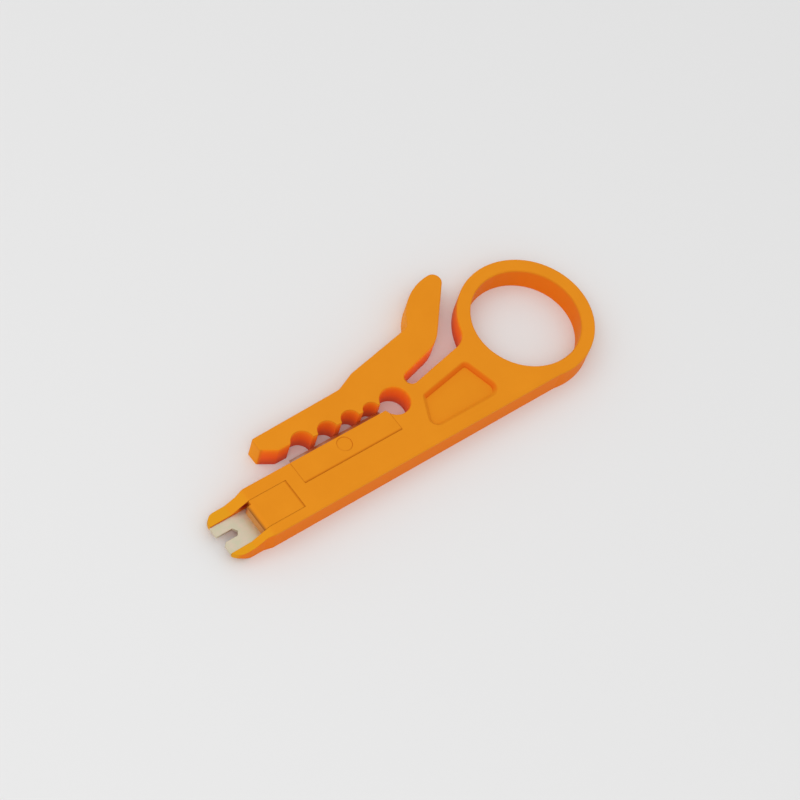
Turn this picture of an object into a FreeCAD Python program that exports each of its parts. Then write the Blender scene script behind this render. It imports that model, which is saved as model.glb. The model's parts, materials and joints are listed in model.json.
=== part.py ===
import FreeCAD, Part
import math
import os
import re
import Sketcher

# Pocket cable stripper with a punch-down tip.
# One flat moulding makes the handle, the finger ring and the toothed spring arm. The arm bends at a
# thin web between the cable hole and the slot, so it is split there into a knuckle and a socket.
# Origin: centre of the finger ring bore on the back face. X runs from the tip to the ring, Y from the
# handle to the lever, Z out of the front face. Lengths are in millimetres and angles in degrees.

DIMENSIONS = {
    # The moulding and its finger ring
    "body_thickness": 5.2,
    "ring_bore_radius": 11.0,
    "ring_wall": 2.7,
    "handle_width": 10.75,
    "handle_inset": 0.2,
    "edge_rounding": 0.3,
    "crotch_radius": 4.0,
    # The cable hole, the bending web beside it and the slot under the lever
    "hole_to_ring": 20.1,
    "cable_hole_rise": 0.75,
    "cable_hole_radius": 3.0,
    "web_thickness": 2.03,
    "web_slope": 24.0,
    "slot_end_radius": 1.38,
    "slot_floor_slope": 11.4,
    "slot_roof_slope": 14.2,
    "knuckle_overhang": 0.185,
    "knuckle_clearance": 0.05,
    # The jaw, stepping outwards from the cable hole; heights stand on the handle's top edge
    "notch_step_4": 5.1,
    "notch_step_3": 4.55,
    "notch_step_2": 5.15,
    "notch_step_1": 5.5,
    "notch_height_4": 1.31,
    "notch_height_3": 1.75,
    "notch_height_2": 1.9,
    "notch_height_1": 2.32,
    "notch_radius_4": 1.74,
    "notch_radius_3": 1.95,
    "notch_radius_2": 2.1,
    "notch_radius_1": 2.34,
    "jaw_gap_inner": 1.52,
    "jaw_gap_outer": 2.36,
    "nose_flat_step": 4.8,
    "nose_flat_lift": 0.81,
    "nose_chamfer_run": 3.05,
    "nose_chamfer_rise": 1.78,
    "nose_end_height": 2.65,
    "nose_rounding": 0.35,
    # The back of the arm and the lever
    "back_step_offset": 3.6,
    "back_step_run": 4.1,
    "back_rise": 0.5,
    "back_step_rise": 1.7,
    "back_step_radius": 3.0,
    "shoulder_offset": 12.3,
    "shoulder_rise": 3.0,
    "shoulder_radius": 2.5,
    "slot_length": 9.0,
    "lever_length": 17.33,
    "lever_slope": 48.1,
    "lever_back_radius": 12.05,
    "lever_tip_radius": 1.7,
    "lever_root_radius": 8.0,
    # The thumb recess in the front face, by the corners of its floor
    "recess_wall_foot": 0.3,
    "recess_wall_run": 0.7,
    "recess_low_inset": 3.45,
    "recess_low_left_offset": 2.99,
    "recess_low_right_offset": 1.22,
    "recess_high_right_offset": 3.4,
    "recess_high_right_rise": 0.45,
    "recess_high_left_offset": 5.68,
    "recess_high_left_drop": 1.48,
    "recess_low_left_radius": 1.1,
    "recess_low_right_radius": 1.5,
    "recess_high_right_radius": 0.6,
    "recess_high_left_radius": 0.4,
    "recess_floor_radius": 0.22,
    # The stripping blade in its pocket, and its cover
    "fit_gap": 0.06,
    "strip_pocket_overlap": 0.4,
    "strip_pocket_length": 22.45,
    "strip_pocket_width": 4.95,
    "strip_blade_thickness": 0.5,
    "strip_cover_thickness": 2.35,
    "strip_blade_clearance": 0.12,
    "strip_blade_outer_gap": 1.4,
    "strip_blade_inner_gap": 0.1,
    "cutting_bevel_width": 0.7,
    "cutting_edge_flat": 0.06,
    "boss_offset": 11.3,
    "boss_drop": 1.95,
    "boss_radius": 1.45,
    "boss_sink": 0.08,
    # The punch-down blade in its pocket at the tip, and its cover
    "pocket_land": 2.75,
    "punch_cover_length": 9.0,
    "punch_blade_reveal": 7.2,
    "punch_pocket_inset": 2.57,
    "punch_pocket_width": 6.3,
    "punch_blade_thickness": 0.6,
    "punch_cover_thickness": 2.6,
    "punch_blade_proud": 0.1,
    "punch_prong_step": 0.35,
    "punch_blade_end_gap": 0.4,
    "fork_width": 1.68,
    "fork_depth": 3.5,
    "fork_point": 0.55,
    "prong_chamfer": 0.55,
    "prong_width": 2.1,
    "punch_notch_inset": 1.18,
    "punch_notch_length": 5.6,
    "pocket_floor_setback": 0.9,
    "cover_relief_length": 0.8,
    "cover_relief_width": 0.75,
    "pin_radius": 0.7,
    "pin_length": 1.5,
    "pin_spacing": 4.0,
    "pin_offset": 4.4,
    # The tip of the handle round that pocket
    "ramp_offset": 1.0,
    "ramp_run": 3.6,
    "ramp_depth": 2.15,
    "wedge_depth": 2.4,
    "neck_offset": 0.3,
    "neck_run": 1.7,
    "neck_step": 0.41,
    "tip_low_radius": 2.6,
    "tip_high_radius": 2.0,
    "back_bevel_length": 3.9,
    "back_bevel_run": 2.3,
    "tip_ledge": 0.35,
    # How far a cutting shape reaches past what it cuts
    "cut_margin": 1.0,
}

# Places that several pieces share, worked out from the dimensions. Along the handle they step from
# the ring to the tip: cable hole, strip pocket, land, punch blade cover, bare end of the punch blade.
RING_OUTER = "(ring_bore_radius + ring_wall)"
LOWER_EDGE = f"(handle_inset - {RING_OUTER})"
TOP_EDGE = f"({LOWER_EDGE} + handle_width)"
HOLE_X = f"(-{RING_OUTER} - hole_to_ring)"
HOLE_Y = f"({TOP_EDGE} + cable_hole_rise)"
STRIP_RIGHT = f"({HOLE_X} - cable_hole_radius + strip_pocket_overlap)"
STRIP_LEFT = f"({STRIP_RIGHT} - strip_pocket_length)"
PUNCH_RIGHT = f"({STRIP_LEFT} - pocket_land)"
PUNCH_COVER_END = f"({PUNCH_RIGHT} - punch_cover_length)"
TIP_END = f"({PUNCH_COVER_END} - punch_blade_reveal)"
TIP_FAR = f"({TIP_END} - cut_margin)"
RAMP_START = f"({PUNCH_COVER_END} + ramp_offset)"
NECK_START = f"({RAMP_START} + neck_offset)"

# The web lies on the line from the cable hole to the slot's round end, halfway between their walls
SLOT_SPAN = "(cable_hole_radius + web_thickness + slot_end_radius)"
SLOT_X = f"({HOLE_X} + {SLOT_SPAN} * cos(web_slope))"
SLOT_Y = f"({HOLE_Y} + {SLOT_SPAN} * sin(web_slope))"
HINGE_SPAN = "(cable_hole_radius + web_thickness / 2)"
HINGE_X = f"({HOLE_X} + {HINGE_SPAN} * cos(web_slope))"
HINGE_Y = f"({HOLE_Y} + {HINGE_SPAN} * sin(web_slope))"
KNUCKLE_RADIUS = "(web_thickness / 2 + knuckle_overhang)"

# Where the slot's floor and roof leave its round end, and where the roof turns into the lever
FLOOR_X = f"({SLOT_X} + slot_end_radius * sin(slot_floor_slope))"
FLOOR_Y = f"({SLOT_Y} - slot_end_radius * cos(slot_floor_slope))"
ROOF_X = f"({SLOT_X} - slot_end_radius * sin(slot_roof_slope))"
ROOF_Y = f"({SLOT_Y} + slot_end_radius * cos(slot_roof_slope))"
LEVER_ROOT_X = f"({SLOT_X} + slot_length)"
LEVER_ROOT_Y = f"({ROOF_Y} + ({LEVER_ROOT_X} - {ROOF_X}) * tan(slot_roof_slope))"
LEVER_CORNER_X = f"({LEVER_ROOT_X} + lever_length * cos(lever_slope))"
LEVER_CORNER_Y = f"({LEVER_ROOT_Y} + lever_length * sin(lever_slope))"

# The jaw's notches and nose
NOTCH_X = {4: f"({HOLE_X} - notch_step_4)"}
for number in (3, 2, 1):
    NOTCH_X[number] = f"({NOTCH_X[number + 1]} - notch_step_{number})"
NOSE_FLAT_X = f"({NOTCH_X[1]} - nose_flat_step)"
NOSE_FLAT_Y = f"({TOP_EDGE} + jaw_gap_outer + nose_flat_lift)"
NOSE_END = f"({NOSE_FLAT_X} - nose_chamfer_run)"
NOSE_LOW_Y = f"({NOSE_FLAT_Y} + nose_chamfer_rise)"
NOSE_TOP_Y = f"({NOSE_LOW_Y} + nose_end_height)"
BACK_HIGH_X = f"({HOLE_X} - back_step_offset)"
BACK_LOW_X = f"({BACK_HIGH_X} - back_step_run)"
BACK_LOW_Y = f"({NOSE_TOP_Y} + back_rise)"
BACK_HIGH_Y = f"({BACK_LOW_Y} + back_step_rise)"
SHOULDER_X = f"({HOLE_X} + shoulder_offset)"
SHOULDER_Y = f"({BACK_HIGH_Y} + shoulder_rise)"

# The seats of both blades: a blade lies on its pocket's floor, and its cover lies on the blade
STRIP_LOW = f"({TOP_EDGE} - strip_pocket_width)"
STRIP_FACE = "(body_thickness - strip_cover_thickness)"
STRIP_SEAT = f"({STRIP_FACE} - strip_blade_thickness)"
STRIP_DEPTH = "(strip_cover_thickness + strip_blade_thickness)"
BOSS_X = f"({STRIP_RIGHT} - boss_offset)"
BOSS_Y = f"({TOP_EDGE} - boss_drop)"
PUNCH_TOP = f"({TOP_EDGE} - punch_pocket_inset)"
PUNCH_LOW = f"({PUNCH_TOP} - punch_pocket_width)"
PUNCH_MIDDLE = f"({PUNCH_TOP} - punch_pocket_width / 2)"
PUNCH_FACE = "(body_thickness - punch_cover_thickness)"
PUNCH_SEAT = f"({PUNCH_FACE} - punch_blade_thickness)"
PIN_X = [f"{PUNCH_RIGHT} - pin_offset {side} pin_spacing / 2" for side in "-+"]

NEAR = 0.01

doc = FreeCAD.newDocument("CableStripper")
sheet = doc.addObject("Spreadsheet::Sheet", "Sizes")
for row, (alias, number) in enumerate(DIMENSIONS.items(), start=1):
    sheet.set(f"A{row}", alias)
    sheet.set(f"B{row}", str(number))
    sheet.setAlias(f"B{row}", alias)
doc.recompute()


def formula(text):
    """Point each dimension named in a formula at its cell of the sheet."""
    return re.sub(r"[a-z][a-z_0-9]*", lambda word: sheet_name(word.group()), text)


def sheet_name(word):
    if word in DIMENSIONS:
        return f"Sizes.{word}"
    return word


def value(text):
    """Work a formula out to a number."""
    return float(sheet.evalExpression(formula(text)))


def new_body(label):
    return doc.addObject("PartDesign::Body", label)


def new_sketch(body, name, role="XY_Plane", height="0"):
    """Start a sketch on one of the body's own planes, raised to a height."""
    sketch = body.newObject("Sketcher::SketchObject", name)
    plane = next(item for item in body.Origin.OriginFeatures if item.Role == role)
    sketch.AttachmentSupport = [(plane, "")]
    sketch.MapMode = "FlatFace"
    if height != "0":
        sketch.setExpression("AttachmentOffset.Base.z", formula(height))
    return sketch


def pin_point(sketch, element, point, across, along):
    """Hold a point of the sketch at two formulas."""
    for kind, text in (("DistanceX", across), ("DistanceY", along)):
        rule = Sketcher.Constraint(kind, -1, 1, element, point, value(text))
        number = sketch.addConstraint(rule)
        sketch.setExpression(f"Constraints[{number}]", formula(text))


def draw_outline(sketch, corners):
    """Draw a closed outline anticlockwise; a third entry bows the side after that corner outwards."""
    places = [(value(corner[0]), value(corner[1])) for corner in corners]
    ends = []
    for number, corner in enumerate(corners):
        start = FreeCAD.Vector(*places[number], 0)
        stop = FreeCAD.Vector(*places[(number + 1) % len(corners)], 0)
        if len(corner) == 3:
            radius = value(corner[2])
            half = (stop - start).Length / 2
            inward = FreeCAD.Vector(start.y - stop.y, stop.x - start.x, 0).normalize()
            middle = (start + stop) / 2 + inward * math.sqrt(radius ** 2 - half ** 2)
            circle = Part.Circle(middle, FreeCAD.Vector(0, 0, 1), radius)
            curve = Part.ArcOfCircle(circle, circle.parameter(start), circle.parameter(stop))
            element = sketch.addGeometry(curve, False)
            rule = sketch.addConstraint(Sketcher.Constraint("Radius", element, radius))
            sketch.setExpression(f"Constraints[{rule}]", formula(corner[2]))
        else:
            element = sketch.addGeometry(Part.LineSegment(start, stop), False)
        ends.append(element)
    for number, element in enumerate(ends):
        following = ends[(number + 1) % len(ends)]
        sketch.addConstraint(Sketcher.Constraint("Coincident", element, 2, following, 1))
    for element, corner in zip(ends, corners):
        pin_point(sketch, element, 1, corner[0], corner[1])


def draw_circle(sketch, across, along, radius):
    centre = FreeCAD.Vector(value(across), value(along), 0)
    circle = Part.Circle(centre, FreeCAD.Vector(0, 0, 1), value(radius))
    element = sketch.addGeometry(circle, False)
    pin_point(sketch, element, 3, across, along)
    rule = sketch.addConstraint(Sketcher.Constraint("Radius", element, value(radius)))
    sketch.setExpression(f"Constraints[{rule}]", formula(radius))


def draw_box(sketch, left, right, low, high):
    draw_outline(sketch, [(left, low), (right, low), (right, high), (left, high)])


def pad(body, sketch, length):
    """Raise a sketch into solid material."""
    feature = body.newObject("PartDesign::Pad", f"{sketch.Name}_pad")
    feature.Profile = sketch
    feature.setExpression("Length", formula(length))
    doc.recompute()
    return feature


def cut(body, sketch, depth=None):
    """Cut a sketch away downwards to a depth, or right through both ways, and see that it cut."""
    before = body.Shape.Volume
    feature = body.newObject("PartDesign::Pocket", f"{sketch.Name}_cut")
    feature.Profile = sketch
    if depth is None:
        feature.Type = "ThroughAll"
        feature.Midplane = True
    else:
        feature.setExpression("Length", formula(depth))
    doc.recompute()
    if feature.Shape.Volume > before - NEAR:
        raise RuntimeError(f"{feature.Name} cuts nothing")
    return feature


def dress_edges(body, kind, name, size, wanted):
    """Round (Fillet) or bevel (Chamfer) every edge of the body that the test picks."""
    base = body.Tip
    edges = [f"Edge{number}" for number, edge in enumerate(base.Shape.Edges, start=1) if wanted(edge)]
    if not edges:
        raise RuntimeError(f"{name} finds no edge")
    feature = body.newObject(f"PartDesign::{kind}", name)
    feature.Base = (base, edges)
    feature.setExpression({"Fillet": "Radius", "Chamfer": "Size"}[kind], formula(size))
    doc.recompute()
    return feature


def upright_at(across, along):
    """Pick the upright edge that stands at two formulas."""
    place = FreeCAD.Vector(value(across), value(along), 0)

    def wanted(edge):
        box = edge.BoundBox
        foot = FreeCAD.Vector(box.Center.x, box.Center.y, 0)
        return box.ZLength > NEAR and box.XLength + box.YLength < NEAR and (foot - place).Length < NEAR

    return wanted


def on_front(edge):
    """Pick an edge that lies in the front face."""
    box = edge.BoundBox
    return box.ZLength < NEAR and abs(box.ZMin - value("body_thickness")) < NEAR


def on_hinge(edge):
    """Pick an edge that runs round the hinge, on the knuckle or on its socket."""
    centre = FreeCAD.Vector(value(HINGE_X), value(HINGE_Y), 0)
    reach = value(f"{KNUCKLE_RADIUS} + knuckle_clearance") + NEAR
    feet = [FreeCAD.Vector(end.X, end.Y, 0) for end in edge.Vertexes]
    return all((foot - centre).Length < reach for foot in feet)


def cut_circle(body, name, across, along, radius):
    sketch = new_sketch(body, name)
    draw_circle(sketch, across, along, radius)
    cut(body, sketch)


# The ramp on the front of the tip: the handle and the punch blade cover both follow it.
def cut_front_ramp(body):
    sketch = new_sketch(body, f"{body.Name}_ramp", role="XZ_Plane")
    draw_outline(sketch, [
        (RAMP_START, "body_thickness"),
        (RAMP_START, "body_thickness + cut_margin"),
        (TIP_FAR, "body_thickness + cut_margin"),
        (TIP_FAR, "body_thickness - wedge_depth"),
        (f"{RAMP_START} - ramp_run", "body_thickness - ramp_depth"),
    ])
    cut(body, sketch)


# Handle: outline from the tip along the lower edge to the ring, back under the slot to the web, and
# along the top edge. The ring, the holes, the hinge socket, the tip and the pockets follow.
handle = new_body("handle")

sketch = new_sketch(handle, "handle_outline")
draw_outline(sketch, [
    (TIP_END, f"{LOWER_EDGE} + neck_step"),
    (f"{NECK_START} - neck_run", f"{LOWER_EDGE} + neck_step"),
    (NECK_START, LOWER_EDGE),
    ("-ring_wall / 2", LOWER_EDGE),
    ("-ring_wall / 2", f"{FLOOR_Y} - (ring_wall / 2 + {FLOOR_X}) * tan(slot_floor_slope)"),
    (FLOOR_X, FLOOR_Y),
    (SLOT_X, SLOT_Y),
    (HOLE_X, HOLE_Y),
    (HOLE_X, TOP_EDGE),
    (NECK_START, TOP_EDGE),
    (f"{NECK_START} - neck_run", f"{TOP_EDGE} - neck_step"),
    (TIP_END, f"{TOP_EDGE} - neck_step"),
])
pad(handle, sketch, "body_thickness")
tip_low = upright_at(TIP_END, f"{LOWER_EDGE} + neck_step")
dress_edges(handle, "Fillet", "tip_low_rounding", "tip_low_radius", tip_low)
tip_high = upright_at(TIP_END, f"{TOP_EDGE} - neck_step")
dress_edges(handle, "Fillet", "tip_high_rounding", "tip_high_radius", tip_high)

sketch = new_sketch(handle, "ring_disc")
draw_circle(sketch, "0", "0", RING_OUTER)
pad(handle, sketch, "body_thickness")


def crotch_edge(edge):
    box = edge.BoundBox
    upright = box.ZLength > NEAR and box.XLength + box.YLength < NEAR
    on_ring = abs(math.hypot(box.Center.x, box.Center.y) - value(RING_OUTER)) < NEAR
    return upright and on_ring and box.Center.y > 0


dress_edges(handle, "Fillet", "crotch_fillet", "crotch_radius", crotch_edge)
cut_circle(handle, "ring_bore", "0", "0", "ring_bore_radius")
cut_circle(handle, "handle_cable_hole", HOLE_X, HOLE_Y, "cable_hole_radius")
cut_circle(handle, "handle_slot_end", SLOT_X, SLOT_Y, "slot_end_radius")
cut_circle(handle, "hinge_socket", HINGE_X, HINGE_Y, f"{KNUCKLE_RADIUS} + knuckle_clearance")

cut_front_ramp(handle)

sketch = new_sketch(handle, "back_bevel", role="XZ_Plane")
draw_outline(sketch, [
    (f"{TIP_END} + back_bevel_length", "0"),
    (f"{TIP_END} + back_bevel_length - back_bevel_run", f"{PUNCH_SEAT} - tip_ledge"),
    (TIP_FAR, f"{PUNCH_SEAT} - tip_ledge"),
    (TIP_FAR, "-cut_margin"),
    (f"{TIP_END} + back_bevel_length", "-cut_margin"),
])
cut(handle, sketch)


def handle_front_edge(edge):
    ridge = abs(edge.BoundBox.Center.x - value(RAMP_START)) < NEAR
    return on_front(edge) and not ridge and not on_hinge(edge)


dress_edges(handle, "Fillet", "handle_edge_rounding", "edge_rounding", handle_front_edge)

# Thumb recess: a four-sided pocket with sloping walls, rounded corners and a rounded floor.
recess_corners = {
    "low_left": (f"{HOLE_X} + recess_low_left_offset", f"{LOWER_EDGE} + recess_low_inset"),
    "low_right": (f"-{RING_OUTER} - recess_low_right_offset", f"{LOWER_EDGE} + recess_low_inset"),
    "high_right": (f"-{RING_OUTER} - recess_high_right_offset", f"{TOP_EDGE} + recess_high_right_rise"),
    "high_left": (f"{HOLE_X} + recess_high_left_offset", f"{TOP_EDGE} - recess_high_left_drop"),
}
sketch = new_sketch(handle, "thumb_recess", height="body_thickness")
draw_outline(sketch, list(recess_corners.values()))
cut(handle, sketch, "recess_wall_foot + recess_wall_run")
for corner, place in recess_corners.items():
    dress_edges(handle, "Fillet", f"recess_{corner}", f"recess_{corner}_radius", upright_at(*place))


def recess_rim(height):
    """Pick the edges of the recess that lie level at a height."""
    left = value(f"{HOLE_X} + recess_low_left_offset - recess_wall_run")
    right = value(f"-{RING_OUTER} - recess_low_right_offset + recess_wall_run")
    base = value(f"{LOWER_EDGE} + edge_rounding")
    top = value(f"{TOP_EDGE} + recess_high_right_rise + recess_wall_run")

    def wanted(edge):
        box = edge.BoundBox
        level = box.ZLength < NEAR and abs(box.ZMin - value(height)) < NEAR
        return level and box.XMin > left and box.XMax < right and box.YMin > base and box.YMax < top

    return wanted


dress_edges(handle, "Chamfer", "recess_wall", "recess_wall_run", recess_rim("body_thickness"))
floor_rim = recess_rim("body_thickness - recess_wall_foot - recess_wall_run")
dress_edges(handle, "Fillet", "recess_floor_fillet", "recess_floor_radius", floor_rim)

# Pocket for the punch-down blade: its cover's part is closed, the rest runs out of the tip.
sketch = new_sketch(handle, "punch_pocket", height="body_thickness")
draw_box(sketch, TIP_FAR, PUNCH_RIGHT, PUNCH_LOW, PUNCH_TOP)
cut(handle, sketch, "punch_cover_thickness + punch_blade_thickness")

# The pocket's floor stops short of the tip, and has a wide notch behind the fork.
floor_end = f"({TIP_END} + pocket_floor_setback)"
notch_end = f"({TIP_END} + punch_notch_length)"
sketch = new_sketch(handle, "punch_notch")
draw_outline(sketch, [
    (TIP_FAR, PUNCH_LOW),
    (floor_end, PUNCH_LOW),
    (floor_end, f"{PUNCH_LOW} + punch_notch_inset"),
    (notch_end, f"{PUNCH_LOW} + punch_notch_inset"),
    (notch_end, f"{PUNCH_TOP} - punch_notch_inset"),
    (floor_end, f"{PUNCH_TOP} - punch_notch_inset"),
    (floor_end, PUNCH_TOP),
    (TIP_FAR, PUNCH_TOP),
])
cut(handle, sketch)

sketch = new_sketch(handle, "pin_sockets", height=PUNCH_SEAT)
for across in PIN_X:
    draw_circle(sketch, across, PUNCH_MIDDLE, "pin_radius")
cut(handle, sketch, "pin_length")

# Pocket for the stripping blade, open at the top edge, with a boss that locates blade and cover.
sketch = new_sketch(handle, "strip_pocket", height="body_thickness")
draw_box(sketch, STRIP_LEFT, STRIP_RIGHT, STRIP_LOW, f"{TOP_EDGE} + cut_margin")
cut(handle, sketch, STRIP_DEPTH)

sketch = new_sketch(handle, "locating_boss", height=STRIP_SEAT)
draw_circle(sketch, BOSS_X, BOSS_Y, "boss_radius")
pad(handle, sketch, f"{STRIP_DEPTH} - boss_sink")

# Spring arm: jaw, back step, lever and knuckle in one outline, then the notches under the jaw.
arm = new_body("spring_arm")

sketch = new_sketch(arm, "arm_outline")
draw_outline(sketch, [
    (NOSE_END, NOSE_LOW_Y),
    (NOSE_FLAT_X, NOSE_FLAT_Y),
    (NOTCH_X[1], NOSE_FLAT_Y),
    (NOTCH_X[1], f"{TOP_EDGE} + jaw_gap_outer"),
    (f"{HOLE_X} - cable_hole_radius / 2", f"{TOP_EDGE} + jaw_gap_inner"),
    (HOLE_X, HOLE_Y),
    (SLOT_X, SLOT_Y),
    (ROOF_X, ROOF_Y),
    (LEVER_ROOT_X, LEVER_ROOT_Y),
    (LEVER_CORNER_X, LEVER_CORNER_Y, "lever_back_radius"),
    (SHOULDER_X, SHOULDER_Y),
    (BACK_HIGH_X, BACK_HIGH_Y),
    (BACK_LOW_X, BACK_LOW_Y),
    (NOSE_END, NOSE_TOP_Y),
])
pad(arm, sketch, "body_thickness")

sketch = new_sketch(arm, "knuckle")
draw_circle(sketch, HINGE_X, HINGE_Y, KNUCKLE_RADIUS)
pad(arm, sketch, "body_thickness")

cut_circle(arm, "arm_cable_hole", HOLE_X, HOLE_Y, "cable_hole_radius")
cut_circle(arm, "arm_slot_end", SLOT_X, SLOT_Y, "slot_end_radius")

roundings = [
    ("lever_root", "lever_root_radius", LEVER_ROOT_X, LEVER_ROOT_Y),
    ("lever_tip", "lever_tip_radius", LEVER_CORNER_X, LEVER_CORNER_Y),
    ("shoulder", "shoulder_radius", SHOULDER_X, SHOULDER_Y),
    ("step_high", "back_step_radius", BACK_HIGH_X, BACK_HIGH_Y),
    ("step_low", "back_step_radius", BACK_LOW_X, BACK_LOW_Y),
    ("nose_top", "nose_rounding", NOSE_END, NOSE_TOP_Y),
    ("nose_low", "nose_rounding", NOSE_END, NOSE_LOW_Y),
]
for name, radius, across, along in roundings:
    dress_edges(arm, "Fillet", f"{name}_rounding", radius, upright_at(across, along))


def arm_front_edge(edge):
    box = edge.BoundBox
    outline = box.YMin > value(NOSE_FLAT_Y) - NEAR
    hole_rim = box.XMin > value(f"{HOLE_X} - cable_hole_radius") - NEAR
    return on_front(edge) and (outline or hole_rim) and not on_hinge(edge)


dress_edges(arm, "Fillet", "arm_edge_rounding", "edge_rounding", arm_front_edge)

for number, across in NOTCH_X.items():
    height = f"{TOP_EDGE} + notch_height_{number}"
    cut_circle(arm, f"wire_notch_{number}", across, height, f"notch_radius_{number}")

# Stripping blade: a steel strip on the pocket floor, its upper edge ground on both sides.
strip_blade = new_body("stripping_blade")
blade_left = f"({STRIP_LEFT} + strip_blade_outer_gap)"
blade_right = f"({STRIP_RIGHT} - strip_blade_inner_gap)"
blade_top = f"({TOP_EDGE} + jaw_gap_inner - strip_blade_clearance)"

sketch = new_sketch(strip_blade, "strip_blade_section", role="YZ_Plane", height=blade_left)
draw_outline(sketch, [
    (f"{STRIP_LOW} + 2 * fit_gap", STRIP_SEAT),
    (f"{blade_top} - cutting_bevel_width", STRIP_SEAT),
    (blade_top, f"({STRIP_SEAT} + {STRIP_FACE} - cutting_edge_flat) / 2"),
    (blade_top, f"({STRIP_SEAT} + {STRIP_FACE} + cutting_edge_flat) / 2"),
    (f"{blade_top} - cutting_bevel_width", STRIP_FACE),
    (f"{STRIP_LOW} + 2 * fit_gap", STRIP_FACE),
])
pad(strip_blade, sketch, f"{blade_right} - {blade_left}")
cut_circle(strip_blade, "blade_boss_hole", BOSS_X, BOSS_Y, "boss_radius + fit_gap")
cut_circle(strip_blade, "blade_hole_relief", HOLE_X, HOLE_Y, "cable_hole_radius + fit_gap")

# Stripping blade cover: flush with the front face and the top edge.
strip_cover = new_body("stripping_blade_cover")
sketch = new_sketch(strip_cover, "strip_cover_outline", height=STRIP_FACE)
draw_box(
    sketch,
    f"{STRIP_LEFT} + fit_gap",
    f"{STRIP_RIGHT} - fit_gap",
    f"{STRIP_LOW} + fit_gap",
    TOP_EDGE,
)
pad(strip_cover, sketch, "strip_cover_thickness")


def cover_top_edge(edge):
    return on_front(edge) and abs(edge.BoundBox.Center.y - value(TOP_EDGE)) < NEAR


dress_edges(strip_cover, "Fillet", "strip_cover_rounding", "edge_rounding", cover_top_edge)
cut_circle(strip_cover, "cover_boss_hole", BOSS_X, BOSS_Y, "boss_radius + fit_gap")
cut_circle(strip_cover, "cover_hole_relief", HOLE_X, HOLE_Y, "cable_hole_radius + fit_gap")

# Punch-down blade: a forked steel plate with a pointed slot and one prong set back and chamfered.
punch_blade = new_body("punch_down_blade")
punch_end = f"({TIP_END} - punch_blade_proud)"
blade_foot = f"({PUNCH_RIGHT} - punch_blade_end_gap)"
prong_end = f"({punch_end} + punch_prong_step)"
fork_high = f"({PUNCH_TOP} - fit_gap - prong_width)"
fork_low = f"({fork_high} - fork_width)"

sketch = new_sketch(punch_blade, "punch_blade_outline", height=PUNCH_SEAT)
draw_outline(sketch, [
    (prong_end, f"{PUNCH_LOW} + fit_gap"),
    (blade_foot, f"{PUNCH_LOW} + fit_gap"),
    (blade_foot, f"{PUNCH_TOP} - fit_gap"),
    (punch_end, f"{PUNCH_TOP} - fit_gap"),
    (punch_end, fork_high),
    (f"{punch_end} + fork_depth", fork_high),
    (f"{punch_end} + fork_depth + fork_point", f"{fork_high} - fork_width / 2"),
    (f"{punch_end} + fork_depth", fork_low),
    (f"{prong_end} + prong_chamfer", fork_low),
    (prong_end, f"{fork_low} - prong_chamfer"),
])
pad(punch_blade, sketch, "punch_blade_thickness")

sketch = new_sketch(punch_blade, "blade_pin_holes")
for across in PIN_X:
    draw_circle(sketch, across, PUNCH_MIDDLE, "pin_radius + fit_gap")
cut(punch_blade, sketch)

# Punch blade cover: flush plate with the ramp across its outer end, a corner relief and two pins.
punch_cover = new_body("punch_blade_cover")
sketch = new_sketch(punch_cover, "punch_cover_outline", height=PUNCH_FACE)
draw_outline(sketch, [
    (PUNCH_COVER_END, f"{PUNCH_LOW} + fit_gap"),
    (f"{PUNCH_RIGHT} - fit_gap", f"{PUNCH_LOW} + fit_gap"),
    (f"{PUNCH_RIGHT} - fit_gap", f"{PUNCH_TOP} - fit_gap"),
    (f"{PUNCH_COVER_END} + cover_relief_length", f"{PUNCH_TOP} - fit_gap"),
    (f"{PUNCH_COVER_END} + cover_relief_length", f"{PUNCH_TOP} - fit_gap - cover_relief_width"),
    (PUNCH_COVER_END, f"{PUNCH_TOP} - fit_gap - cover_relief_width"),
])
pad(punch_cover, sketch, "punch_cover_thickness")
cut_front_ramp(punch_cover)

pin_foot = f"({PUNCH_SEAT} - pin_length + fit_gap)"
sketch = new_sketch(punch_cover, "cover_pins", height=pin_foot)
for across in PIN_X:
    draw_circle(sketch, across, PUNCH_MIDDLE, "pin_radius")
pad(punch_cover, sketch, f"{PUNCH_FACE} - {pin_foot}")

doc.recompute()
bodies = [handle, arm, strip_blade, strip_cover, punch_blade, punch_cover]
for item in doc.Objects:
    if "Invalid" in item.State or "Error" in item.State:
        raise RuntimeError(f"{item.Name} did not recompute: {item.State}")
for body in bodies:
    if body.Shape.isNull() or not body.Shape.isValid():
        raise RuntimeError(f"{body.Label} is not a valid solid")

os.makedirs("parts", exist_ok=True)
for body in bodies:
    body.Shape.exportStep(f"parts/{body.Label}.step")
    print(body.Label, len(body.Shape.Solids), "solid", round(body.Shape.Volume, 2), "cubic mm")
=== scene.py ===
import json
import math
import bmesh
import bpy
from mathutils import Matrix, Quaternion, Vector


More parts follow.
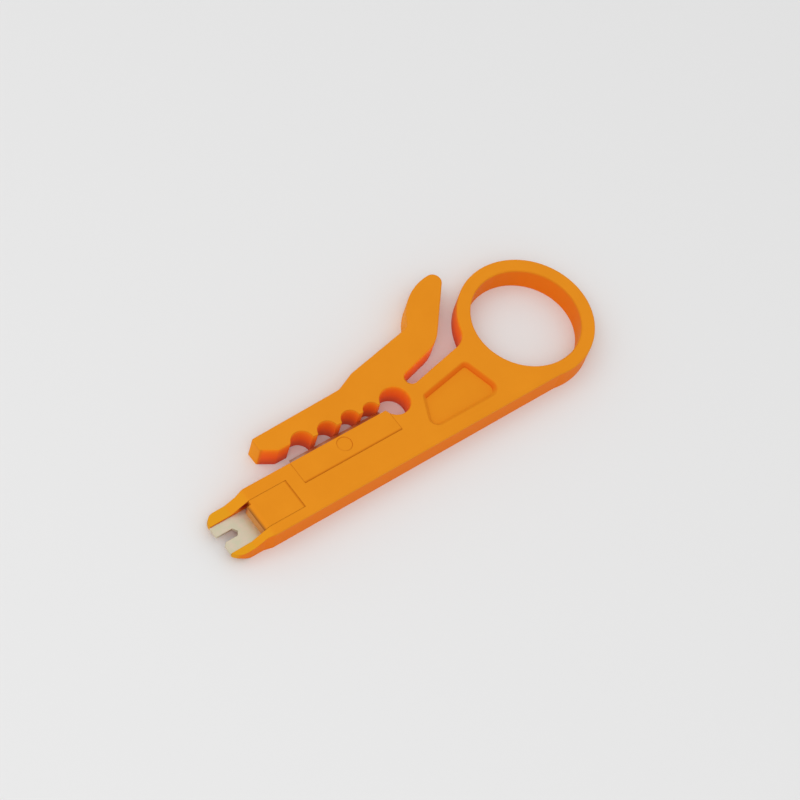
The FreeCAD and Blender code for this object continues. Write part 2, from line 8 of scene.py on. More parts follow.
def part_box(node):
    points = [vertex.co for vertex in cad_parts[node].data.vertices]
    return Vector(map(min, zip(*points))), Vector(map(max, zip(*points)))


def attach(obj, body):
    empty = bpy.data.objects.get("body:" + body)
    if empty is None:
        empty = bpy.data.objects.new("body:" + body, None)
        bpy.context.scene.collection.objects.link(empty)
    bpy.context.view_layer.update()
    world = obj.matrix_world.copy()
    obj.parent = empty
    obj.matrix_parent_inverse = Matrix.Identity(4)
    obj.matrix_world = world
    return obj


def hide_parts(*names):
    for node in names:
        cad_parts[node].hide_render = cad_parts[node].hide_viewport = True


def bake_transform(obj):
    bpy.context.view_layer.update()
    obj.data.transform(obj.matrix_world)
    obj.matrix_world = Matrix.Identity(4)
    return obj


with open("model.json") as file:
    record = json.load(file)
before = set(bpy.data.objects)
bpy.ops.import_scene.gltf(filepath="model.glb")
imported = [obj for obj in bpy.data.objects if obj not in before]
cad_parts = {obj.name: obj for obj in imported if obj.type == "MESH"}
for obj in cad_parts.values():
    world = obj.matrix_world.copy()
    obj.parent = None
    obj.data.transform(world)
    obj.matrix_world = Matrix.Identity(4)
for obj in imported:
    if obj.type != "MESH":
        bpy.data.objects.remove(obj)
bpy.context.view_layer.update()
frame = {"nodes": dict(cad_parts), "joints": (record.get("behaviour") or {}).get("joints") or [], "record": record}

# Handle, finger ring and spring arm.
# The real piece is one flat shot of orange nylon, moulded with its rounded front rim and its jaw. A
# thin web beside the cable hole joins the arm to the handle and bends when the lever is squeezed.
# The frame carries it as two nodes with a knuckle in the web; here the web is whole again.

MM = 0.001
RIM_ROUNDING = 0.3 * MM
WEB_THICKNESS = 2.03 * MM
SLOT_END_RADIUS = 1.38 * MM
WEB_HALF_LENGTH = 1.3 * MM
WEB_REACH = 2.6 * MM
WEB_CUTS = 11
SKIN_WELD = 0.002 * MM
FACING_BACK = -0.9

# The web lies between the round wall of the cable hole and the round end of the slot. Places in it
# are measured from the hinge, across the web and along it.
hinge = Vector(frame["joints"][0]["pos_m"])
hinge.z = 0.0
opening_low, opening_high = frame["record"]["physics"]["openings"][0]["box_m"]
cable_hole = (Vector(opening_low) + Vector(opening_high)) / 2
cable_hole.z = 0.0
across_web = (hinge - cable_hole).normalized()
along_web = Vector((-across_web.y, across_web.x, 0.0))
cable_hole_radius = (hinge - cable_hole).length - WEB_THICKNESS / 2
slot_end = hinge + across_web * (WEB_THICKNESS / 2 + SLOT_END_RADIUS)
hole_chord = math.sqrt(cable_hole_radius ** 2 - WEB_HALF_LENGTH ** 2)
slot_chord = math.sqrt(SLOT_END_RADIUS ** 2 - WEB_HALF_LENGTH ** 2)
hole_wall = hole_chord - (hinge - cable_hole).length
slot_wall = (slot_end - hinge).length - slot_chord
front_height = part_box("handle")[1].z


def web_place(point):
    """Where a point lies across the web and along it, from the hinge."""
    return (point - hinge).dot(across_web), (point - hinge).dot(along_web)


def moulded_shell(node, side):
    """Copy one half of the moulding, and cut its knuckle or socket off beyond the web's end."""
    cad_mesh = frame["nodes"][node].data
    shell = bmesh.new()
    shell.from_mesh(cad_mesh)
    skin = shell.loops.layers.float_vector.new("skin_normal")
    for face in shell.faces:
        for corner in face.loops:
            corner[skin] = cad_mesh.corner_normals[corner.index].vector
    bmesh.ops.remove_doubles(shell, verts=shell.verts, dist=SKIN_WELD)
    everything = shell.verts[:] + shell.edges[:] + shell.faces[:]
    cut_place = hinge + along_web * side * WEB_HALF_LENGTH
    bmesh.ops.bisect_plane(shell, geom=everything, plane_co=cut_place, plane_no=along_web)
    spent = []
    for face in shell.faces:
        across, along = web_place(face.calc_center_median())
        if abs(across) < WEB_REACH and side * along < WEB_HALF_LENGTH:
            spent.append(face)
    bmesh.ops.delete(shell, geom=spent, context="FACES")
    return shell


def close_cut(shell, rim, outward):
    """Close an open rim with one flat face that looks outward."""
    skin = shell.loops.layers.float_vector["skin_normal"]
    for face in bmesh.ops.holes_fill(shell, edges=rim, sides=len(rim))["faces"]:
        if face.normal.dot(outward) < 0:
            face.normal_flip()
        for corner in face.loops:
            corner[skin] = outward


def skin_object(name, shell):
    """Make the shell a finished object that keeps its skin normals."""
    mesh = bpy.data.meshes.new(name)
    shell.to_mesh(mesh)
    shell.free()
    normals = [item.vector.normalized() for item in mesh.attributes["skin_normal"].data]
    mesh.attributes.remove(mesh.attributes["skin_normal"])
    mesh.polygons.foreach_set("use_smooth", [True] * len(mesh.polygons))
    mesh.normals_split_custom_set(normals)
    piece = bpy.data.objects.new(name, mesh)
    bpy.context.scene.collection.objects.link(piece)
    return piece


def copy_rim(source, target):
    """Copy the open rim of a shell into another mesh, and return the copied edges."""
    twins = {}
    edges = []
    for edge in source:
        for corner in edge.verts:
            if corner not in twins:
                twins[corner] = target.verts.new(corner.co)
        edges.append(target.edges.new([twins[corner] for corner in edge.verts]))
    return edges


def fit_to_web(point):
    """Move a point of the straight bridge on to the round walls of the hole and the slot end."""
    across, along = web_place(point)
    hole_bow = math.sqrt(cable_hole_radius ** 2 - along ** 2) - hole_chord
    slot_bow = math.sqrt(SLOT_END_RADIUS ** 2 - along ** 2) - slot_chord
    share = (across - hole_wall - RIM_ROUNDING) / (slot_wall - hole_wall - 2 * RIM_ROUNDING)
    share = min(max(share, 0.0), 1.0)
    return point + across_web * (hole_bow * (1 - share) - slot_bow * share)


def web_normal(point):
    """The true normal of the web's skin: off the round wall, over the rounded rim to the front."""
    across, along = web_place(point)
    centre = cable_hole if across < 0 else slot_end
    outward = centre - point
    outward.z = 0.0
    rise = (point.z - front_height + RIM_ROUNDING) / RIM_ROUNDING
    rise = min(max(rise, 0.0), 1.0)
    return outward.normalized() * math.sqrt(1 - rise ** 2) + Vector((0, 0, rise))


# Both halves are cut back to the web's ends, their open rims are bridged, and the straight bridge
# is fitted to the web's round walls.
handle_shell = moulded_shell("handle", -1)
arm_shell = moulded_shell("spring_arm", 1)
web_shell = bmesh.new()
web_skin = web_shell.loops.layers.float_vector.new("skin_normal")
rims = []
for shell, side in ((handle_shell, -1), (arm_shell, 1)):
    rim = [edge for edge in shell.edges if edge.is_boundary]
    rims.append(copy_rim(rim, web_shell))
    close_cut(shell, rim, along_web * -side)
bridge = bmesh.ops.bridge_loops(web_shell, edges=rims[0] + rims[1])
bmesh.ops.subdivide_edges(web_shell, edges=bridge["edges"], cuts=WEB_CUTS)
bmesh.ops.recalc_face_normals(web_shell, faces=web_shell.faces)
for corner in web_shell.verts:
    corner.co = fit_to_web(corner.co)
web_shell.normal_update()
for face in web_shell.faces:
    for corner in face.loops:
        if face.normal.z < FACING_BACK:
            corner[web_skin] = Vector((0, 0, -1))
        else:
            corner[web_skin] = web_normal(corner.vert.co)
for rim, side in zip(rims, (-1, 1)):
    close_cut(web_shell, rim, along_web * side)

handle_piece = skin_object("moulded_handle", handle_shell)
arm_piece = skin_object("moulded_spring_arm", arm_shell)
web_piece = skin_object("moulded_web", web_shell)

# The steps that every finish is built from. A Mix node keeps its own numbered sockets for each kind
# of data: two going in and one coming out.
MIX_SOCKETS = {"VECTOR": (4, 5, 1), "RGBA": (6, 7, 2)}
CLOUDS = {"Detail": 3.0, "Roughness": 0.6}
SPECKS = {"Detail": 2.0, "Roughness": 0.5}
NOISE_MIDDLE = 0.5
NO_HEIGHT = (1.0, 1.0, 0.0)


def feed(tree, node, feeds):
    """Feed a node's sockets from other sockets, or set them to plain values."""
    for name, source in feeds.items():
        if isinstance(source, bpy.types.NodeSocket):
            tree.links.new(source, node.inputs[name])
        else:
            node.inputs[name].default_value = source


def place_node(tree, kind, feeds, **settings):
    """Add a node, set its properties, feed its sockets, and hand back what comes out of it."""
    node = tree.nodes.new(kind)
    for name, setting in settings.items():
        setattr(node, name, setting)
    feed(tree, node, feeds)
    return node.outputs


def mask_math(tree, operation, *terms):
    """One step of arithmetic between masks, places and plain numbers."""
    feeds = dict(enumerate(terms))
    return place_node(tree, "ShaderNodeMath", feeds, operation=operation)[0]


def soft_step(tree, amount, start, full):
    """A soft step from nothing at the start to the full mask."""
    feeds = {"Value": amount, "From Min": start, "From Max": full}
    return place_node(tree, "ShaderNodeMapRange", feeds, interpolation_type="SMOOTHSTEP")[0]


def across_face(tree, place):
    """Leave the height out of a place, so that distances run across the face."""
    feeds = {0: place, 1: NO_HEIGHT}
    return place_node(tree, "ShaderNodeVectorMath", feeds, operation="MULTIPLY")["Vector"]


def reach_from(tree, place, centre):
    """How far a place is from a centre."""
    feeds = {0: place, 1: centre}
    return place_node(tree, "ShaderNodeVectorMath", feeds, operation="DISTANCE")["Value"]


def mix_by_mask(tree, share, first, second, kind="RGBA"):
    """Go from one tone or normal to another by a mask."""
    into_first, into_second, mixed = MIX_SOCKETS[kind]
    feeds = {"Factor": share, into_first: first, into_second: second}
    return place_node(tree, "ShaderNodeMix", feeds, data_type=kind)[mixed]


def surface_noise(tree, place, scale, look):
    """A noise that fills the material at one scale."""
    feeds = {"Vector": place, "Scale": scale, **look}
    return place_node(tree, "ShaderNodeTexNoise", feeds)["Fac"]


def uneven_gloss(tree, given, pattern):
    """A roughness that wavers about its own value with a pattern."""
    centred = mask_math(tree, "SUBTRACT", pattern, NOISE_MIDDLE)
    spread = given["Roughness Spread"]
    return mask_math(tree, "MULTIPLY_ADD", centred, spread, given["Roughness"])


def fine_relief(tree, height, strength, depth, normal):
    """Raise a fine pattern on a normal."""
    feeds = {"Height": height, "Strength": strength, "Distance": depth, "Normal": normal}
    return place_node(tree, "ShaderNodeBump", feeds)["Normal"]


def finish_group(name, inputs, outputs):
    """Start a finish that several materials share, with its named inputs and outputs."""
    group = bpy.data.node_groups.new(name, "ShaderNodeTree")
    for socket, setting in inputs.items():
        kind = "NodeSocketFloat" if isinstance(setting, float) else "NodeSocketVector"
        entry = group.interface.new_socket(name=socket, in_out="INPUT", socket_type=kind)
        entry.default_value = setting
    for socket in outputs:
        kind = "NodeSocketVector" if socket == "Normal" else "NodeSocketFloat"
        group.interface.new_socket(name=socket, in_out="OUTPUT", socket_type=kind)
    given = group.nodes.new("NodeGroupInput").outputs
    return group, given, group.nodes.new("NodeGroupOutput")


def place_group(tree, group, feeds):
    """Place a shared finish in a material, with that material's own values."""
    return place_node(tree, "ShaderNodeGroup", feeds, node_tree=group)


def new_finish(name):
    """Start a material, and hand back its node tree and its shader."""
    finish = bpy.data.materials.new(name)
    finish.use_nodes = True
    return finish, finish.node_tree, finish.node_tree.nodes["Principled BSDF"]


# Mould texture: the fine spark-eroded grain of the mould, and slow changes of tone in the resin.
HANDLE_TONE_SCALE = 140.0
mould_texture, given, result = finish_group("mould_texture", {
    "Grain Scale": 3600.0,
    "Tone Scale": HANDLE_TONE_SCALE,
    "Roughness": 0.45,
    "Roughness Spread": 0.1,
}, ["Tone", "Roughness", "Height"])
place = place_node(mould_texture, "ShaderNodeTexCoord", {})["Object"]
tone = surface_noise(mould_texture, place, given["Tone Scale"], CLOUDS)
feed(mould_texture, result, {
    "Tone": tone,
    "Roughness": uneven_gloss(mould_texture, given, tone),
    "Height": surface_noise(mould_texture, place, given["Grain Scale"], SPECKS),
})

# Painted wall light: light and shade painted into the nylon's colour. The real nylon lets some light
# in, and its walls are painted redder below the front rim for that light and the shade in them. Those of
# the jaw, the cable hole and the slot get a painted glow that darkens downwards into painted shade, and
# those of the slot glow most. The recess has shallow walls painted a darker orange, as painted shade.
# Walls that face the tip are painted brighter than the face, as painted light, the tip end gets a tone
# of its own, on the moulding a paler, yellower painted light on its slopes, and one corner of the tip
# pocket is painted a deep red, as painted shade.
# Each pair of values below says where a mask starts and where it is full.
RING_CENTRE = (0.0, 0.0, 0.0)
POCKET_CORNER_HEIGHT = 3.8 * MM
POCKET_CORNER_CORE = 0.4 * MM
OPEN_SUNK_START = 0.1 * MM
INNER_SUNK_START = -0.1 * MM
WALL_TILT = (0.99, 0.70)
STEEP_WALL_TILT = (0.7, 0.4)
OFF_TOP_FACING = (0.97, 0.75)
LOWER_LEFT_FACING = (0.5, -0.7)
TIP_FACING = (-0.25, -0.8)
LEAST_WALL = 0.5
GLOW_OFF_SLOT = 0.6
SLOT_LESS_DARK = 0.12
cover_low, cover_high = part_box("punch_blade_cover")
painted_wall_light, given, result = finish_group("painted_wall_light", {
    "Front Height": front_height,
    "Fade Depth": 0.9 * MM,
    "Hollow Fade Depth": 0.4 * MM,
    "Hollow Left": -62.1 * MM,
    "Hollow Left Full": -61.2 * MM,
    "Hollow Right": -8.5 * MM,
    "Outer Wall": -12.4 * MM,
    "Hollow Top": 11.8 * MM,
    "Hollow Top Slope": 0.119,
    "Hollow Top Fade": 2.0 * MM,
    "Recess Left": -31.9 * MM,
    "Recess Top": 3.66 * MM,
    "Recess Top Slope": 0.22,
    "Hole Centre": cable_hole,
    "Hole Reach": 3.4 * MM,
    "Ring Middle": 12.4 * MM,
    "Ring Reach": 14.3 * MM,
    "Slot Start": -30.0 * MM,
    "Slot Full": -28.5 * MM,
    "Slot Mouth": -20.0 * MM,
    "Slot Left Behind": -15.0 * MM,
    "Pocket Corner": Vector((cover_low.x, cover_high.y, POCKET_CORNER_HEIGHT)),
    "Corner Reach": 1.6 * MM,
    "Tip Start": -69.2 * MM,
    "Tip Full": -71.2 * MM,
}, ["Wall", "Hollow", "Recess", "Depth", "Glow", "Tip Wall", "Corner", "Tip End"])
place = place_node(painted_wall_light, "ShaderNodeTexCoord", {})
facing = place_node(painted_wall_light, "ShaderNodeSeparateXYZ", {"Vector": place["Normal"]})
spot = place_node(painted_wall_light, "ShaderNodeSeparateXYZ", {"Vector": place["Object"]})


def wall_light_math(operation, *terms):
    """One step of arithmetic in the painted wall light."""
    return mask_math(painted_wall_light, operation, *terms)


def wall_light_fade(amount, start, full):
    """One soft step in the painted wall light."""
    return soft_step(painted_wall_light, amount, start, full)


def overlap(*masks):
    """Where several masks of the painted wall light hold at once."""
    shared = masks[0]
    for mask in masks[1:]:
        shared = wall_light_math("MULTIPLY", shared, mask)
    return shared


def outside(mask):
    """The rest of the skin, outside a mask."""
    return wall_light_math("SUBTRACT", 1.0, mask)


def below_line(slope, rise):
    """How far the spot lies below a sloping line across the face."""
    line = wall_light_math("MULTIPLY_ADD", spot["X"], slope, rise)
    return wall_light_math("SUBTRACT", line, spot["Y"])


# Where the spot is: on the ring, in the recess, or in the hollow of the jaw, cable hole and slot.
flat_place = across_face(painted_wall_light, place["Object"])
from_ring = reach_from(painted_wall_light, flat_place, RING_CENTRE)
from_hole = reach_from(painted_wall_light, flat_place, given["Hole Centre"])
from_corner = reach_from(painted_wall_light, place["Object"], given["Pocket Corner"])
in_ring = wall_light_math("LESS_THAN", from_ring, given["Ring Reach"])
off_bore = overlap(
    wall_light_math("GREATER_THAN", from_ring, given["Ring Middle"]),
    wall_light_math("LESS_THAN", spot["X"], given["Hollow Right"]),
)
below_recess_top = below_line(given["Recess Top Slope"], given["Recess Top"])
recess = overlap(
    wall_light_math("GREATER_THAN", spot["X"], given["Recess Left"]),
    wall_light_math("GREATER_THAN", below_recess_top, 0.0),
    wall_light_math("GREATER_THAN", from_hole, given["Hole Reach"]),
)
below_hollow_top = below_line(given["Hollow Top Slope"], given["Hollow Top"])
inner = overlap(
    wall_light_fade(spot["X"], given["Hollow Left"], given["Hollow Left Full"]),
    wall_light_fade(below_hollow_top, 0.0, given["Hollow Top Fade"]),
    wall_light_math("GREATER_THAN", spot["Y"], given["Outer Wall"]),
    off_bore,
)
in_recess = overlap(inner, recess)
open_wall = outside(wall_light_math("MAXIMUM", in_ring, inner))
past_slot_end = wall_light_fade(spot["X"], given["Slot Start"], given["Slot Full"])
past_mouth = wall_light_fade(spot["X"], given["Slot Mouth"], given["Slot Left Behind"])
in_slot = wall_light_math("SUBTRACT", past_slot_end, past_mouth)

# Which way the skin faces there, and how far it lies below the front.
flatness = wall_light_math("ABSOLUTE", facing["Z"])
upright = wall_light_fade(flatness, *WALL_TILT)
off_top = wall_light_fade(facing["Y"], *OFF_TOP_FACING)
down_left = wall_light_math("ADD", facing["X"], facing["Y"])
to_lower_left = wall_light_fade(down_left, *LOWER_LEFT_FACING)
to_tip = overlap(wall_light_fade(facing["X"], *TIP_FACING), open_wall)
below_front = wall_light_math("SUBTRACT", given["Front Height"], spot["Z"])
open_sunk = wall_light_fade(below_front, OPEN_SUNK_START, given["Fade Depth"])
inner_sunk = wall_light_fade(below_front, INNER_SUNK_START, given["Hollow Fade Depth"])
sunk = wall_light_math("ADD", overlap(inner_sunk, inner), overlap(open_sunk, outside(inner)))

# What these make together: the painted glow and shade, from the walls of the hollow to the painted
# shade of the deep corner.
hollow = overlap(wall_light_math("SUBTRACT", inner, in_recess), off_top)
# Painted shade by the way a wall faces the light: walls that face the lower left get the whole wall
# tone. The others get down to half of it, and in the recess down to none.
least = wall_light_math("MULTIPLY_ADD", in_recess, -LEAST_WALL, LEAST_WALL)
shaded = wall_light_math("MULTIPLY_ADD", to_lower_left, outside(least), least)
wall = overlap(overlap(upright, sunk), overlap(shaded, outside(to_tip)))
# The slot's walls get the most painted glow, and less painted shade downwards than the others.
glow_share = wall_light_math("MULTIPLY_ADD", in_slot, 1.0 - GLOW_OFF_SLOT, GLOW_OFF_SLOT)
sunk_share = wall_light_math("DIVIDE", below_front, given["Front Height"])
dark_share = wall_light_math("MULTIPLY_ADD", in_slot, -SLOT_LESS_DARK, 1.0)
near_corner = wall_light_fade(from_corner, given["Corner Reach"], POCKET_CORNER_CORE)
feed(painted_wall_light, result, {
    "Wall": wall,
    "Hollow": hollow,
    "Recess": in_recess,
    "Depth": overlap(sunk_share, dark_share),
    "Glow": overlap(wall, hollow, glow_share),
    "Tip Wall": overlap(to_tip, upright, open_sunk),
    "Corner": overlap(near_corner, wall_light_fade(flatness, *STEEP_WALL_TILT)),
    "Tip End": wall_light_fade(spot["X"], given["Tip Start"], given["Tip Full"]),
})

# Broken edges: every edge left square by the mould or the grinder is a little soft. Near the web
# the rounding is in the mesh, so the shader leaves that alone.
EDGE_SAMPLES = 6
broken_edge, given, result = finish_group("broken_edge", {
    "Radius": 0.1 * MM,
    "Web Centre": hinge,
    "Web Reach": 3.0 * MM,
}, ["Normal"])
place = place_node(broken_edge, "ShaderNodeTexCoord", {})["Object"]
skin = place_node(broken_edge, "ShaderNodeNewGeometry", {})["Normal"]
radius = {"Radius": given["Radius"]}
rounded = place_node(broken_edge, "ShaderNodeBevel", radius, samples=EDGE_SAMPLES)["Normal"]
from_web = reach_from(broken_edge, across_face(broken_edge, place), given["Web Centre"])
off_web = mask_math(broken_edge, "GREATER_THAN", from_web, given["Web Reach"])
softened = mix_by_mask(broken_edge, off_web, skin, rounded, "VECTOR")
feed(broken_edge, result, {"Normal": softened})

# Orange nylon: the tones of the face, the painted light on the tip and on the walls that face it, the
# painted glow and shade of the walls, and the light that comes through the hollow's walls, painted as a
# glow that darkens into painted shade by their share of the way down from the front.
FACE_DEEP = (0.745, 0.247, 0.011, 1)
FACE_PALE = (0.810, 0.283, 0.014, 1)
TIP_WALL_PAINTED_LIGHT = (0.885, 0.312, 0.012, 1)
TIP_PAINTED_LIGHT = (0.755, 0.325, 0.012, 1)
WALL_PAINTED_GLOW = (0.840, 0.195, 0.008, 1)
RECESS_PAINTED_SHADE = (0.740, 0.155, 0.007, 1)
HOLLOW_PAINTED_GLOW = {
    0.05: (0.850, 0.245, 0.011, 1),
    0.25: (0.830, 0.155, 0.011, 1),
    0.55: (0.790, 0.115, 0.014, 1),
    0.95: (0.500, 0.070, 0.034, 1),
}
NO_GLOW = (0.0, 0.0, 0.0, 1)
CORNER_PAINTED_SHADE = (0.330, 0.020, 0.008, 1)
# How strongly the hollow's walls give off their painted glow.
PAINTED_GLOW_STRENGTH = 0.283
NYLON_SHINE = 0.03
GRAIN_STRENGTH = 0.35
HANDLE_GRAIN = 0.020 * MM


def orange_nylon(name, tone_scale, grain_depth, tip_tone, tip_place):
    """Orange nylon: toned resin with mould grain, painted glow and shade in its walls, painted light on
    the walls that face the tip, and a tone of its own at the tip end.
    """
    finish, tree, shader = new_finish(name)
    texture = place_group(tree, mould_texture, {"Tone Scale": tone_scale})
    depth = place_group(tree, painted_wall_light, tip_place)
    edge = place_group(tree, broken_edge, {})
    # The hollow's walls: a painted glow under the front rim that darkens downwards into painted shade.
    ramp = tree.nodes.new("ShaderNodeValToRGB")
    feed(tree, ramp, {"Fac": depth["Depth"]})
    stops = ramp.color_ramp.elements
    for number, (sink, glow_tone) in enumerate(HOLLOW_PAINTED_GLOW.items()):
        stop = stops[number] if number < len(stops) else stops.new(sink)
        stop.position = sink
        stop.color = glow_tone
    hollow_painted_glow = ramp.outputs["Color"]
    face = mix_by_mask(tree, texture["Tone"], FACE_DEEP, FACE_PALE)
    # Painted light on the open walls that face the tip, then the tip end's own tone, which on the moulding is
    # painted light on its slopes.
    face = mix_by_mask(tree, depth["Tip Wall"], face, TIP_WALL_PAINTED_LIGHT)
    face = mix_by_mask(tree, depth["Tip End"], face, tip_tone)
    # The walls' painted glow and shade, with a darker painted shade in the recess.
    walls = mix_by_mask(tree, depth["Recess"], WALL_PAINTED_GLOW, RECESS_PAINTED_SHADE)
    walls = mix_by_mask(tree, depth["Hollow"], walls, hollow_painted_glow)
    colour = mix_by_mask(tree, depth["Wall"], face, walls)
    grain = fine_relief(tree, texture["Height"], GRAIN_STRENGTH, grain_depth, edge["Normal"])
    # A painted shade in the corner of the tip pocket, and a painted glow that the hollow's walls give off,
    # standing in for the light that comes through the nylon.
    feed(tree, shader, {
        "Base Color": mix_by_mask(tree, depth["Corner"], colour, CORNER_PAINTED_SHADE),
        "Roughness": texture["Roughness"],
        "Normal": grain,
        "Emission Color": mix_by_mask(tree, depth["Glow"], NO_GLOW, hollow_painted_glow),
        "Emission Strength": PAINTED_GLOW_STRENGTH,
        "Specular IOR Level": NYLON_SHINE,
    })
    return finish


moulding_nylon = orange_nylon("moulding_nylon", HANDLE_TONE_SCALE, HANDLE_GRAIN, TIP_PAINTED_LIGHT, {})
for piece in (handle_piece, arm_piece, web_piece):
    piece.data.materials.append(moulding_nylon)
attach(handle_piece, "handle")
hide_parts("handle")
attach(arm_piece, "arm")
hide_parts("spring_arm")
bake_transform(web_piece)

# Stripping blade.
# The real piece is a short strip of hardened steel, ground on both sides to an edge. It drops into
# its pocket over the round boss, and its cover holds it down.

STRIP_PALE = (0.52, 0.50, 0.43, 1)
STRIP_DEEP = (0.46, 0.44, 0.38, 1)
STRIP_ROUGHNESS = 0.30
STEEL_EDGE = 0.05 * MM
LINE_STRENGTH = 0.3
LINE_DEPTH = 0.010 * MM
LINE_SCALE = 1.0
MOTTLE_LOW = 0.35
MOTTLE_HIGH = 0.65

# Grinding: fine lines, which the stretch draws out along the blade, and a mottle of two tones.
grinding, given, result = finish_group("grinding", {
    "Line Stretch": (90.0, 5200.0, 900.0),
    "Mottle Scale": 750.0,
    "Roughness": 0.4,
    "Roughness Spread": 0.12,
}, ["Mottle", "Roughness", "Height"])
place = place_node(grinding, "ShaderNodeTexCoord", {})["Object"]
stretch = {0: place, 1: given["Line Stretch"]}
stretched = place_node(grinding, "ShaderNodeVectorMath", stretch, operation="MULTIPLY")["Vector"]
lines = surface_noise(grinding, stretched, LINE_SCALE, CLOUDS)
mottle = surface_noise(grinding, place, given["Mottle Scale"], SPECKS)
contrast = {"Value": mottle, "From Min": MOTTLE_LOW, "From Max": MOTTLE_HIGH}
feed(grinding, result, {
    "Mottle": place_node(grinding, "ShaderNodeMapRange", contrast)[0],
    "Roughness": uneven_gloss(grinding, given, lines),
    "Height": lines,
})


def ground_steel(name, first_tone, second_tone, roughness):
    """Ground blade steel: two close tones in a mottle, and fine grinding lines along the blade."""
    finish, tree, shader = new_finish(name)
    ground = place_group(tree, grinding, {"Roughness": roughness})
    edge = place_group(tree, broken_edge, {"Radius": STEEL_EDGE})
    scratches = fine_relief(tree, ground["Height"], LINE_STRENGTH, LINE_DEPTH, edge["Normal"])
    feed(tree, shader, {
        "Base Color": mix_by_mask(tree, ground["Mottle"], first_tone, second_tone),
        "Roughness": ground["Roughness"],
        "Normal": scratches,
        "Metallic": 1.0,
    })
    return finish


strip_steel = ground_steel("strip_steel", STRIP_PALE, STRIP_DEEP, STRIP_ROUGHNESS)
frame["nodes"]["stripping_blade"].data.materials[0] = strip_steel

# Stripping blade cover.
# The real piece is a small plate of the same orange nylon, pressed in flush over the blade. The
# boss of the handle comes up through its hole.

COVER_GRAIN = 0.015 * MM
COVER_TONE_SCALE = 210.0
SEAM_WIDTH = 0.50 * MM
# The tone of the painted shade along a cover's seam, where the gap swallows the light.
SEAM_PAINTED_SHADE = (0.61, 0.165, 0.006, 1)
LOWER_SIDE = Vector((0, -1, 0))

# Edge shade: a soft line of painted shade along the edge of a piece that lies furthest in one direction.
edge_shade, given, result = finish_group("edge_shade", {
    "Direction": LOWER_SIDE,
    "Start": 0.0,
    "Edge": 0.0,
}, ["Shade"])
place = place_node(edge_shade, "ShaderNodeTexCoord", {})["Object"]
along = {0: place, 1: given["Direction"]}
reach = place_node(edge_shade, "ShaderNodeVectorMath", along, operation="DOT_PRODUCT")["Value"]
feed(edge_shade, result, {"Shade": soft_step(edge_shade, reach, given["Start"], given["Edge"])})


def shade_edge(node, direction, width, tone):
    """Darken a cover along one edge with painted shade, where its seam or the line of its end shows most."""
    cover_mesh = frame["nodes"][node].data
    tree = cover_mesh.materials[0].node_tree
    shader = tree.nodes["Principled BSDF"]
    edge = max(corner.co.dot(direction) for corner in cover_mesh.vertices)
    line = {"Direction": direction, "Start": edge - width, "Edge": edge}
    shade = place_group(tree, edge_shade, line)["Shade"]
    plain = shader.inputs["Base Color"].links[0].from_socket
    feed(tree, shader, {"Base Color": mix_by_mask(tree, shade, plain, tone)})


cover_nylon = orange_nylon("cover_nylon", COVER_TONE_SCALE, COVER_GRAIN, TIP_PAINTED_LIGHT, {})
frame["nodes"]["stripping_blade_cover"].data.materials[0] = cover_nylon
# Painted shade along the cover's lower seam.
shade_edge("stripping_blade_cover", LOWER_SIDE, SEAM_WIDTH, SEAM_PAINTED_SHADE)

# Punch-down blade.
# The real piece is a forked plate of pale ground steel. It lies on the floor of the tip pocket, and
# two pins of its cover go through it into the handle.

PUNCH_WARM = (0.79, 0.67, 0.52, 1)
PUNCH_COOL = (0.715, 0.67, 0.49, 1)
PUNCH_ROUGHNESS = 0.48
punch_steel = ground_steel("punch_steel", PUNCH_WARM, PUNCH_COOL, PUNCH_ROUGHNESS)
frame["nodes"]["punch_down_blade"].data.materials[0] = punch_steel

# Punch blade cover.
# The real piece is a thick nylon plate with two pins under it. It sits flush in the handle, and its
# outer end follows the ramp down to the blade.

COVER_END = (0.640, 0.285, 0.080, 1)
COVER_END_PLACE = {"Tip Start": -70.42 * MM, "Tip Full": -70.56 * MM}
# A painted shadow along the upper outer edge of the punch blade cover's end.
END_PAINTED_SHADOW = (0.34, 0.115, 0.020, 1)
END_SHADOW_WIDTH = 0.17 * MM
RING_SIDE = Vector((1, 0, 0))
UPPER_OUTER_EDGE = Vector((-1, 0, 1)).normalized()
punch_cover_nylon = orange_nylon(
    "punch_cover_nylon",
    COVER_TONE_SCALE,
    COVER_GRAIN,
    COVER_END,
    COVER_END_PLACE,
)
frame["nodes"]["punch_blade_cover"].data.materials[0] = punch_cover_nylon
# Painted shade along the cover's seam at the ring side, and a painted shadow along its upper outer edge.
shade_edge("punch_blade_cover", RING_SIDE, SEAM_WIDTH, SEAM_PAINTED_SHADE)
shade_edge("punch_blade_cover", UPPER_OUTER_EDGE, END_SHADOW_WIDTH, END_PAINTED_SHADOW)

# Floor, lights and camera.
# A plain pale floor, two soft boxes and an even white surround, with the camera at the photograph's
# angle over the tip and the lower edge.

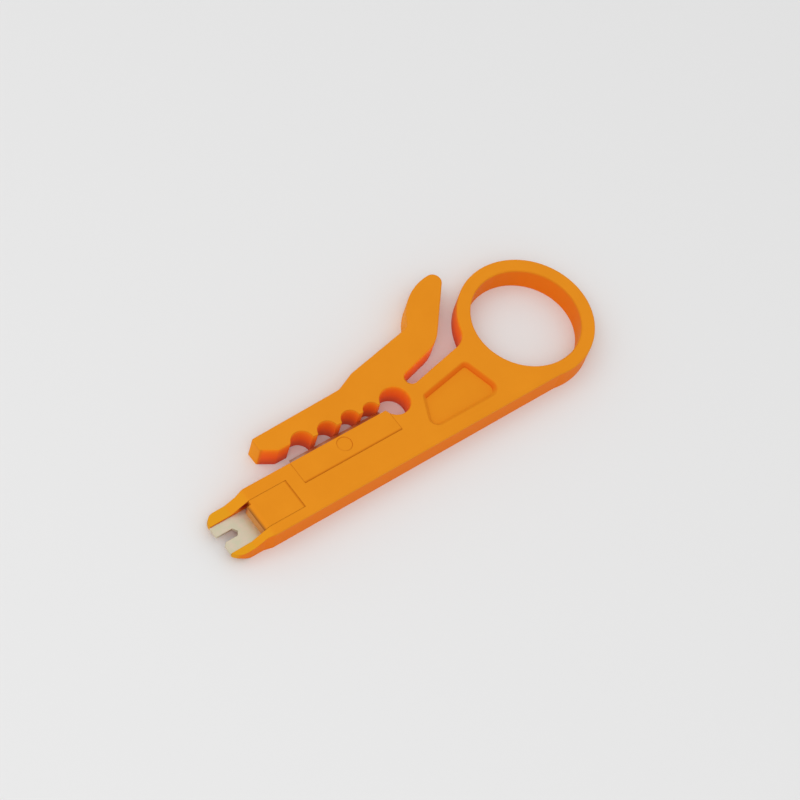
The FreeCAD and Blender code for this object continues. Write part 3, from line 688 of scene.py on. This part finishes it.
FLOOR_HALF_WIDTH = 3.0
FLOOR_TONE = (0.8, 0.8, 0.8, 1)
FLOOR_ROUGHNESS = 0.9
floor_shape = bmesh.new()
bmesh.ops.create_grid(floor_shape, x_segments=1, y_segments=1, size=FLOOR_HALF_WIDTH)
floor_mesh = bpy.data.meshes.new("floor")
floor_shape.to_mesh(floor_mesh)
floor_shape.free()
floor = bpy.data.objects.new("floor", floor_mesh)
bpy.context.scene.collection.objects.link(floor)
pale_floor, tree, shader = new_finish("pale_floor")
feed(tree, shader, {"Base Color": FLOOR_TONE, "Roughness": FLOOR_ROUGHNESS})
floor_mesh.materials.append(pale_floor)

SURROUND_TONE = (1, 1, 1, 1)
SURROUND_STRENGTH = 0.80
surround = bpy.data.worlds.new("studio")
surround.use_nodes = True
background = surround.node_tree.nodes["Background"]
feed(surround.node_tree, background, {"Color": SURROUND_TONE, "Strength": SURROUND_STRENGTH})
bpy.context.scene.world = surround

SOFT_BOX_WIDTH = 0.5
KEY_PLACE = Vector((-0.45, 0.25, 0.58))
KEY_POWER = 0.50
FILL_PLACE = Vector((-0.37, -0.25, 0.62))
FILL_POWER = 0.95


def aim_at(thing, place, aim, roll=0.0):
    """Put a lamp or the camera in its place, and turn it to look at a point."""
    thing.location = place
    thing.rotation_mode = "QUATERNION"
    look = (aim - place).to_track_quat("-Z", "Y")
    thing.rotation_quaternion = look @ Quaternion((0, 0, 1), roll)
    bpy.context.scene.collection.objects.link(thing)


def soft_box(name, place, power):
    """Hang a round soft light that looks at the middle of the tool."""
    light = bpy.data.lights.new(name, "AREA")
    light.shape = "DISK"
    light.size = SOFT_BOX_WIDTH
    light.energy = power
    aim_at(bpy.data.objects.new(name, light), place, cable_hole)


soft_box("key_soft_box", KEY_PLACE, KEY_POWER)
soft_box("fill_soft_box", FILL_PLACE, FILL_POWER)

CAMERA_PLACE = Vector((-0.2315, -0.1455, 0.3671))
CAMERA_AIM = Vector((-0.0330, -0.0024, 0.0052))
CAMERA_ROLL = math.radians(20.216)
CAMERA_LENS = 105.8
CAMERA_SENSOR = 36.0
CAMERA_NEAREST = 0.01
camera_data = bpy.data.cameras.new("camera")
camera_data.lens = CAMERA_LENS
camera_data.sensor_width = CAMERA_SENSOR
camera_data.clip_start = CAMERA_NEAREST
camera = bpy.data.objects.new("camera", camera_data)
aim_at(camera, CAMERA_PLACE, CAMERA_AIM, CAMERA_ROLL)
bpy.context.scene.camera = camera
bpy.context.scene.view_settings.view_transform = "Standard"
